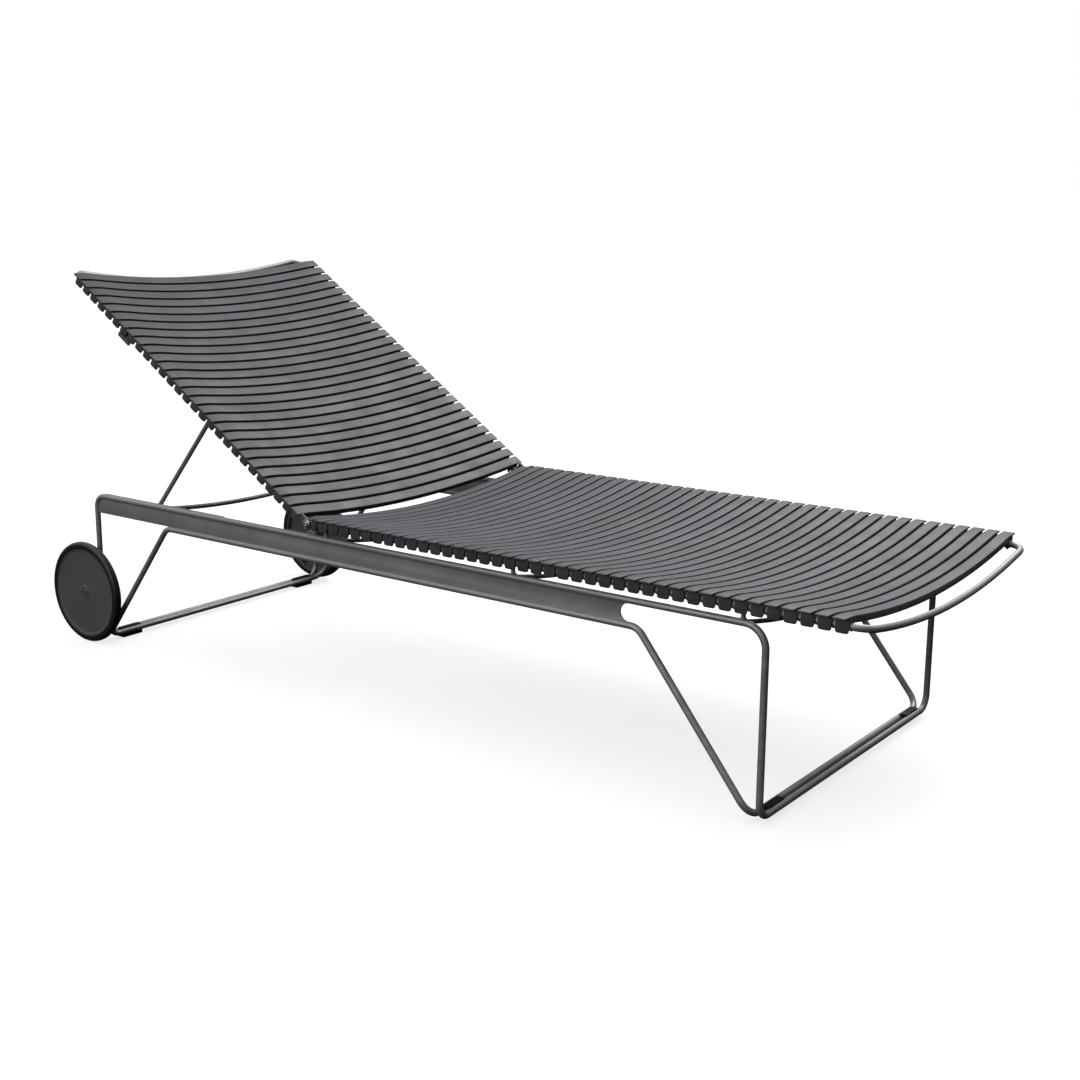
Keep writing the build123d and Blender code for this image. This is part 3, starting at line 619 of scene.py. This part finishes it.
plain, notched = slat_shells(), slat_shells(True)
seed_set(11)
seat_count, back_count = SEAT_GROUPS * PER_GROUP, BACK_GROUPS * PER_GROUP
tones = [0.5 + 0.5 * random_unit_vector(size=2).x for _ in range(seat_count + back_count)]
placed = []
for i in range(seat_count):
    origin = V(HINGE.x + SEAT_FIRST + SEAT_PITCH * i, 0, RAIL_Z)
    placed.append((place_slat(plain if i else notched, origin, V(1, 0, 0), V(0, 0, 1)), tones[i]))
for i in range(back_count):
    origin = HINGE + SQUARE * RAIL_N + ALONG * (BACK_FIRST + BACK_PITCH * i)
    placed.append((place_slat(plain, origin, -ALONG, SQUARE), tones[seat_count + i]))
for group in range(SEAT_GROUPS + BACK_GROUPS):
    of_seat = group < SEAT_GROUPS
    name = f"seat_slats_{group + 1}" if of_seat else f"back_slats_{group - SEAT_GROUPS + 1}"
    slat_node(name, placed[group * PER_GROUP:(group + 1) * PER_GROUP])

# ---- frame rods ------------------------------------------------------------------------------
foot_low, head_low = V(FOOT_X - PAIR, 0, FLOOR_Z), V(HEAD_X + PAIR, 0, FLOOR_Z)
foot_top, head_top = V(LOW_FOOT_X, 0, LOWER_Z), V(LOW_HEAD_X, 0, LOWER_Z)
foot_dir, head_dir = (foot_low - foot_top).normalized(), (head_low - head_top).normalized()
foot_leg_top = UPPER_Z - FOOT_BEND_R - STUB
head_leg_top = UPPER_Z - HEAD_BEND_R - STUB
strut_stub = LOWER_BEND_R / 2 + STUB
floor_stub = FLOOR_BEND_R + STUB
leg_low = FLOOR_Z + floor_stub

for side, s in SIDES:
    shift = V(0, s * BEAM_Y, 0)
    upper = [V(FOOT_X, 0, foot_leg_top), V(FOOT_X, 0, UPPER_Z)]
    upper += [V(HEAD_X, 0, UPPER_Z), V(HEAD_X, 0, head_leg_top)]
    rod = rounded_path([point + shift for point in upper], (FOOT_BEND_R, HEAD_BEND_R))
    piece(f"upper_rod_{side}", [tube(rod, ROD_R)], f"upper_rail_{side}")
    lower = [foot_top + foot_dir * strut_stub, foot_top, head_top, head_top + head_dir * strut_stub]
    rod = rounded_path([point + shift for point in lower], (LOWER_BEND_R, LOWER_BEND_R))
    piece(f"lower_rod_{side}", [tube(rod, ROD_R)], f"lower_rail_{side}")
    base = V(HINGE.x, 0, RAIL_Z) + shift
    rod = [base + V(SEAT_RAIL_START, 0, 0), base + V(FOOT_BOW_X - BOW_BEND_R, 0, 0)]
    piece(f"seat_rod_{side}", [tube(rod, ROD_R)], f"seat_rail_{side}")
    base = HINGE + SQUARE * RAIL_N + shift
    rod = [base + ALONG * BACK_RAIL_START, base + ALONG * (HEAD_BOW_S - BOW_BEND_R)]
    piece(f"back_rod_{side}", [tube(rod, ROD_R)], f"back_rail_{side}")

for name, top, low in (
    ("foot_legs", V(FOOT_X, 0, foot_leg_top), V(FOOT_X, 0, leg_low)),
    ("head_legs", V(HEAD_X, 0, head_leg_top), V(HEAD_X, 0, leg_low)),
    ("foot_struts", foot_top + foot_dir * strut_stub, foot_low - foot_dir * floor_stub),
    ("head_struts", head_top + head_dir * strut_stub, head_low - head_dir * floor_stub),
):
    shells = [tube([top + V(0, s * BEAM_Y, 0), low + V(0, s * BEAM_Y, 0)], ROD_R) for _, s in SIDES]
    piece(f"{name}_rods", shells, name)

for name, corner, rise in (
    ("foot_floor_bar_outer", V(FOOT_X, 0, FLOOR_Z), V(0, 0, 1)),
    ("foot_floor_bar_inner", foot_low, -foot_dir),
    ("head_floor_bar_outer", V(HEAD_X, 0, FLOOR_Z), V(0, 0, 1)),
    ("head_floor_bar_inner", head_low, -head_dir),
):
    left, right = corner + V(0, BEAM_Y, 0), corner - V(0, BEAM_Y, 0)
    ends = [left + rise * floor_stub, left, right, right + rise * floor_stub]
    rod = rounded_path(ends, (FLOOR_BEND_R, FLOOR_BEND_R))
    piece(f"{name}_rod", [tube(rod, ROD_R)], name)


BEND_STEPS, BOW_STEPS = 12, 18


def bow(to_world, reach, half_width, bend_r, slope, in_plane):
    """The bowed cross rod: a bend out of each side and a shallow arc between them.

    to_world takes a point with x along the sides and y across. The arc falls below that plane,
    or lies in it when in_plane is set.
    """
    g = radians(slope)
    turn = pi / 2 - g if in_plane else pi / 2
    inward = V(0, -1, 0) if in_plane else V(0, -cos(g), -sin(g))
    start = V(reach - bend_r * sin(turn), half_width, 0)
    half = []
    for i in range(BEND_STEPS + 1):
        a = turn * i / BEND_STEPS
        half.append(start + V(bend_r * sin(a), 0, 0) + inward * bend_r * (1 - cos(a)))
    end = half[-1]
    big = end.y / sin(g)
    for i in range(1, BOW_STEPS + 1):
        y = end.y * (1 - i / BOW_STEPS)
        fall = big * (cos(asin(y / big)) - cos(g))
        half.append(V(end.x + fall, y, 0) if in_plane else V(end.x, y, end.z - fall))
    whole = half + [V(p.x, -p.y, p.z) for p in half[-2::-1]]
    return [to_world(p) for p in whole]


def in_seat(p):
    """A point in the seat rails' plane, from the hinge."""
    return V(HINGE.x + p.x, p.y, RAIL_Z + p.z)


def in_back(p):
    """A point in the backrest rails' plane, from the hinge line."""
    return HINGE + SQUARE * (RAIL_N + p.z) + ALONG * p.x + V(0, p.y, 0)


prop_x, prop_z = V(-cos(PROP), 0, -sin(PROP)), V(-sin(PROP), 0, cos(PROP))


def in_prop(p):
    """A point in the prop's plane, from its pivot."""
    return PIVOT + prop_x * p.x + prop_z * p.z + V(0, p.y, 0)


seat_bow = bow(in_seat, FOOT_BOW_X, BEAM_Y, BOW_BEND_R, FOOT_BOW_SLOPE, False)
piece("foot_bow_rod", [tube(seat_bow, ROD_R)], "foot_bow")
back_bow = bow(in_back, HEAD_BOW_S, BEAM_Y, BOW_BEND_R, HEAD_BOW_SLOPE, False)
piece("head_bow_rod", [tube(back_bow, ROD_R)], "head_bow")
prop_bow = bow(in_prop, PROP_LENGTH, PROP_Y, PROP_BEND_R, PROP_SLOPE, True)
piece("prop_bar_rod", [tube(prop_bow, PROP_ROD_R)], "prop_bar")

# bearers: a shallow arc between the upper rods, and a post on each up to the seat rail
BEARER_STEPS = 24            # on each half of the arc
for order, name in enumerate(("seat_bearer_head", "seat_bearer_middle", "seat_bearer_foot")):
    x = HINGE.x + SEAT_FIRST + (1 + order * BEARER_EVERY) * SEAT_PITCH
    end_y = BEAM_Y - ROD_R + WELD
    big = end_y / sin(BEARER_SLOPE)
    arc = []
    for i in range(2 * BEARER_STEPS + 1):
        a = BEARER_SLOPE * (1 - i / BEARER_STEPS)
        arc.append(V(x, big * sin(a), UPPER_Z - big * (cos(a) - cos(BEARER_SLOPE))))
    shells = [tube(arc, BEARER_R)]
    for _, s in SIDES:
        low = V(x, s * BEAM_Y, UPPER_Z + ROD_R - WELD)
        high = V(x, s * BEAM_Y, RAIL_Z - ROD_R + WELD)
        inward = (0, -s * cos(BEARER_SLOPE), -sin(BEARER_SLOPE))
        shells.append(tube([low, high], BEARER_R))
        shells.append(bead(low + V(0, 0, 2 * WELD), (0, 0, 1), BEARER_R + 0.2, 1.3))
        shells.append(bead(high - V(0, 0, 2 * WELD), (0, 0, 1), BEARER_R, 1.0))
        shells.append(bead(V(x, s * (end_y - 0.6), UPPER_Z - 0.1), inward, BEARER_R + 0.2, 1.3))
    piece(f"{name}_rod", shells, name)

# ---- plates and fittings: the CAD shapes with softened edges ------------------------------------
for node, width in (
    ("side_plate_left", 0.4),
    ("side_plate_right", 0.4),
    ("seat_hinge_lugs", 0.5),
    ("back_hinge_lugs", 0.7),
    ("stop_blocks", 0.8),
    ("prop_brackets", 0.5),
    ("prop_pins", 0.5),
    ("rack_left", 0.4),
    ("rack_right", 0.4),
    ("wheel_brackets", 0.5),
    ("axle_spacers", 0.4),
    ("axle_bolts", 0.4),
    ("foot_end_feet", 0.6),
    ("head_end_feet", 0.6),
):
    eased(node, width)

# a washer under each hinge bolt's head
LUG_FACE_Y = 348.5
WASHER_IN_R, WASHER_OUT_R, WASHER_T = 6.1, 9.8, 1.1
washer = [
    (WASHER_IN_R, LUG_FACE_Y - 0.1),
    (WASHER_OUT_R, LUG_FACE_Y - 0.1),
    (WASHER_OUT_R, LUG_FACE_Y + 0.7),
    (WASHER_OUT_R - 0.8, LUG_FACE_Y + WASHER_T),
    (WASHER_IN_R + 0.9, LUG_FACE_Y + WASHER_T),
    (WASHER_IN_R, LUG_FACE_Y + 0.5),
]
eased("hinge_bolts", 0.35, [lathe([(r, s * y) for r, y in washer], HINGE, 48) for _, s in SIDES])

# ---- prop legs: a rod into a round eye on each pin -----------------------------------------------
EYE_R, EYE_T, PIN_BORE_R = 9.0, 8.0, 4.05
EYE_OVERLAP = 1.5            # the rod runs this far into the eye
leg_end = PROP_LENGTH - PROP_BEND_R * cos(radians(PROP_SLOPE))
eye_box = [(PIN_BORE_R, -EYE_T / 2), (EYE_R, -EYE_T / 2), (EYE_R, EYE_T / 2), (PIN_BORE_R, EYE_T / 2)]
eye = rounded(eye_box, 0.8)
for side, s in SIDES:
    start = PIVOT + V(0, s * PROP_Y, 0)
    shells = [
        tube([start + prop_x * (EYE_R - EYE_OVERLAP), start + prop_x * leg_end], PROP_ROD_R),
        lathe(eye, start, 48),
        bead(start + prop_x * (EYE_R + WELD), prop_x, PROP_ROD_R - WELD, 1.2),
    ]
    piece(f"prop_leg_{side}_rod", shells, f"prop_leg_{side}", 50)

# ---- wheels --------------------------------------------------------------------------------------
BORE_R, HUB_R, RING_IN_R = 5.05, 15.0, 10.0
HUB_IN_Y, BACK_Y, RECESS_Y, FACE_Y = 347.5, 361.2, 363.0, 364.2
DISC_R, RIM_R, RIM_IN_Y, LIP_R, LIP_Y = 97.0, 92.0, 351.0, 94.4, 365.2
RIBS, RIB_T, RIB_R, RIB_IN_Y, RIB_OUT_Y = 6, 3.0, 93.5, 352.0, 362.0
TYRE_R, TYRE_IN_Y, TYRE_OUT_Y, TREAD_R, TYRE_EDGE = 112.5, 349.0, 367.0, 8.0, 1.5
TREAD_STEPS = 10
WHEEL_STEPS = 144

disc = rounded(
    [
        (BORE_R, HUB_IN_Y),
        (HUB_R, HUB_IN_Y),
        (HUB_R + 2.0, BACK_Y),
        (RIM_R, BACK_Y),
        (RIM_R + 1.0, RIM_IN_Y),
        (DISC_R, RIM_IN_Y),
        (DISC_R, LIP_Y),
        (LIP_R, LIP_Y),
        (LIP_R - 1.2, FACE_Y - 0.2),
        (91.5, FACE_Y - 0.19),
        (60.0, FACE_Y),
        (HUB_R + 3.0, FACE_Y),
        (HUB_R + 1.2, FACE_Y),
        (HUB_R + 0.4, FACE_Y + 0.9),
        (RING_IN_R + 2.0, FACE_Y + 1.2),
        (RING_IN_R, FACE_Y + 1.1),
        (RING_IN_R - 0.4, RECESS_Y),
        (BORE_R, RECESS_Y),
    ],
    0.5,
)

# the tyre: two round shoulders with a narrow flat tread between them
tyre_middle = (TYRE_IN_Y + TYRE_OUT_Y) / 2
half_tyre = [(DISC_R, TYRE_IN_Y + TYRE_EDGE), (DISC_R + TYRE_EDGE, TYRE_IN_Y)]
for k in range(TREAD_STEPS + 1):
    a = (k / TREAD_STEPS - 1) * pi / 2
    half_tyre.append((TYRE_R - TREAD_R + TREAD_R * cos(a), TYRE_IN_Y + TREAD_R + TREAD_R * sin(a)))
half_tyre.append((TYRE_R, tyre_middle - 0.5))
tyre = half_tyre + [(TYRE_R, tyre_middle)] + [(r, 2 * tyre_middle - y) for r, y in reversed(half_tyre)]


def rib(s, k):
    """One rib behind the disc's face, turned to its place round the wheel on side s."""
    turn = Matrix.Rotation(2 * pi * k / RIBS, 4, "Y")
    outline = [(HUB_R, RIB_IN_Y), (RIB_R, RIB_IN_Y), (RIB_R, RIB_OUT_Y), (HUB_R, RIB_OUT_Y)]
    return prism(outline, lambda r, y, d: WHEEL + turn @ V(r, s * y, d), -RIB_T / 2, RIB_T / 2, 0.4)


for side, s in SIDES:
    shells = [lathe([(r, s * y) for r, y in disc], WHEEL, WHEEL_STEPS)]
    shells += [rib(s, k) for k in range(RIBS)]
    piece(f"wheel_disc_{side}_moulded", shells, f"wheel_disc_{side}", 30)
    shells = [lathe([(r, s * y) for r, y in tyre], WHEEL, WHEEL_STEPS)]
    piece(f"tyre_{side}_moulded", shells, f"tyre_{side}", 40)

# ---- stage, light and camera -----------------------------------------------------------------
FLOOR_HALF = 14.0
floor_mesh = bpy.data.meshes.new("floor")
corners = [(x * FLOOR_HALF, y * FLOOR_HALF, 0) for x, y in ((-1, -1), (1, -1), (1, 1), (-1, 1))]
floor_mesh.from_pydata(corners, [], [(0, 1, 2, 3)])
floor = bpy.data.objects.new("floor", floor_mesh)
bpy.context.scene.collection.objects.link(floor)
g = Graph("floor_white")
floor_colour = g.mix(g.noise(1.2), (0.34, 0.34, 0.34), (0.36, 0.36, 0.36))
floor_mesh.materials.append(g.set(colour=floor_colour, roughness=0.9, specular=0.0, glow=0.74))
floor.visible_diffuse = False
floor.visible_glossy = False

# white to the eye; as a light, bright above, dimmer towards the foot end and dark below
world = bpy.data.worlds.new("studio")
bpy.context.scene.world = world
world.use_nodes = True
tree = world.node_tree
background = tree.nodes["Background"]
background.inputs["Color"].default_value = (1.0, 1.0, 1.0, 1.0)


def world_node(kind, *inputs, **settings):
    """A world node with its settings and, in order, its input numbers or links."""
    node = tree.nodes.new(kind)
    for key, value in settings.items():
        setattr(node, key, value)
    for socket, value in zip(node.inputs, inputs):
        if isinstance(value, (int, float)):
            socket.default_value = value
        elif value is not None:
            tree.links.new(value, socket)
    return node


axes = world_node("ShaderNodeSeparateXYZ", world_node("ShaderNodeTexCoord").outputs["Generated"])
rising = world_node("ShaderNodeMapRange", axes.outputs["Z"], -0.05, 0.6, 0.02, 1.0)
facing = world_node("ShaderNodeMapRange", axes.outputs["X"], -0.1, 0.8, 1.0, 0.15)
glow = world_node("ShaderNodeMath", rising.outputs["Result"], facing.outputs["Result"], operation="MULTIPLY")
seen = world_node("ShaderNodeLightPath").outputs["Is Camera Ray"]
shown = world_node("ShaderNodeMath", seen, glow.outputs["Value"], operation="MAXIMUM")
tree.links.new(shown.outputs["Value"], background.inputs["Strength"])


def lamp(name, place, aim, size, watts):
    """A rectangular area light at place, turned to aim."""
    data = bpy.data.lights.new(name, "AREA")
    data.shape = "RECTANGLE"
    data.size, data.size_y = size
    data.energy = watts
    obj = bpy.data.objects.new(name, data)
    obj.location = place
    obj.rotation_mode = "QUATERNION"
    obj.rotation_quaternion = (Vector(aim) - Vector(place)).to_track_quat("-Z", "Y")
    bpy.context.scene.collection.objects.link(obj)


sun_data = bpy.data.lights.new("ceiling", "SUN")
sun_data.energy = 0.8
sun_data.angle = radians(60)
sun = bpy.data.objects.new("ceiling", sun_data)
bpy.context.scene.collection.objects.link(sun)
lamp("softbox", (0.1, 2.1, 2.6), (-0.4, 0, 0.5), (2.2, 1.4), 66)
lamp("front_fill", (-0.6, -4.2, 1.6), (0, 0, 0.35), (3.0, 1.6), 40)
lamp("back_fill", (-4.2, 0.3, 0.5), (0, 0, 0.4), (2.4, 1.0), 9)

CAMERA_AT = (1.8271, -2.3300, 0.9880)
CAMERA_LOOKS = Vector((-0.6028, 0.7693, -0.2116)).normalized()
camera_data = bpy.data.cameras.new("camera")
camera_data.sensor_width = 36.0
camera_data.lens = 49.856
camera_data.shift_x = 0.04498
camera_data.shift_y = -0.02582
camera = bpy.data.objects.new("camera", camera_data)
camera.location = CAMERA_AT
camera.rotation_mode = "QUATERNION"
camera.rotation_quaternion = CAMERA_LOOKS.to_track_quat("-Z", "Y")
bpy.context.scene.collection.objects.link(camera)
bpy.context.scene.camera = camera
bpy.context.scene.view_settings.view_transform = "Standard"
